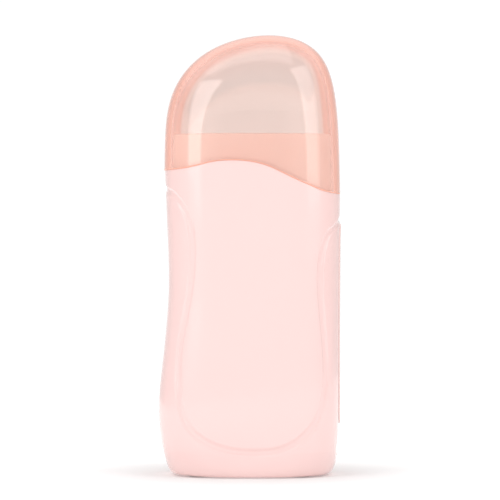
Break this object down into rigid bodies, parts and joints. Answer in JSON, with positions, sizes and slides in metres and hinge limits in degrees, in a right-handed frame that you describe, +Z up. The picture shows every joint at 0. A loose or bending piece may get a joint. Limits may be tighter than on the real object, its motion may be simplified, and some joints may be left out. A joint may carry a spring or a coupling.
{
  "type": "roll-on wax heater",
  "caption": "Handheld roll-on cartridge wax heater: waisted moulded body, see-through dome cap that lifts off, level window in one side, rear mains inlet and rocker switch.",
  "frame": {"origin": "on the table, under the middle of the bounding box", "axes": "+Z up through the cap, -Y out of the front face, +X towards the side with the level window"},
  "size_m": [0.0729, 0.05, 0.1755],
  "materials": {
    "pink_shell": "gloss moulded pale pink",
    "collar_plastic": "satin moulded pale pink",
    "clear_peach": "see-through peach-tinted plastic",
    "clear_window": "clear plastic",
    "lamp_lens": "tinted clear plastic",
    "rubber_feet": "soft rubber",
    "switch_plastic": "satin moulded",
    "rocker_plastic": "gloss moulded",
    "inlet_plastic": "satin moulded",
    "holder_plastic": "heat-resistant moulded",
    "well_aluminium": "drawn, satin",
    "steel": "zinc plated",
    "nickel": "nickel plated strip",
    "brass": "machined",
    "ptc_ceramic": "fired",
    "amber_film": "polyimide film",
    "black_case": "moulded",
    "fuse_body": "sleeve",
    "board": "coated laminate",
    "led_clear": "tinted epoxy",
    "resistor_body": "lacquered",
    "wire_brown": "insulated",
    "wire_blue": "insulated",
    "wire_red": "insulated",
    "wire_black": "insulated"
  },
  "bodies": {
    "housing": {"front_shell": "pink_shell", "rear_shell": "pink_shell", "neck_collar": "collar_plastic", "side_window": "clear_window", "indicator_lens": "lamp_lens", "foot_front_left": "rubber_feet", "foot_front_right": "rubber_feet", "foot_rear_left": "rubber_feet", "foot_rear_right": "rubber_feet", "case_screw_left": "steel", "case_screw_right": "steel", "heating_well": "well_aluminium", "well_holder": "holder_plastic", "inner_insulator": "amber_film", "inner_electrode": "nickel", "ptc_stone_upper": "ptc_ceramic", "ptc_stone_lower": "ptc_ceramic", "outer_electrode": "nickel", "outer_insulator": "amber_film", "clamp_spring": "steel", "thermostat": "black_case", "thermal_fuse": "fuse_body", "fuse_clip": "steel", "inlet_socket": "inlet_plastic", "inlet_pin_left": "brass", "inlet_pin_right": "brass", "switch_body": "switch_plastic", "switch_terminal_upper": "brass", "switch_terminal_lower": "brass", "led_board": "board", "led": "led_clear", "resistor": "resistor_body", "diode": "black_case", "wire_live_in": "wire_brown", "wire_live_switched": "wire_brown", "wire_fuse_link": "nickel", "wire_live_heater": "wire_brown", "wire_neutral": "wire_blue", "wire_led_live": "wire_red", "wire_led_neutral": "wire_black"},
    "cap": {"cap": "clear_peach"},
    "rocker": {"rocker": "rocker_plastic"}
  },
  "joints": [
    {"name": "cap_slide", "type": "slide", "parent": "housing", "child": "cap", "axis": [0, 0, 1], "range_m": [0, 0.06]},
    {"name": "rocker_tilt", "type": "hinge", "parent": "housing", "child": "rocker", "pos_m": [0.011, 0.0216, 0.0125], "axis": [1, 0, 0], "range_deg": [0, 20]}
  ]
}
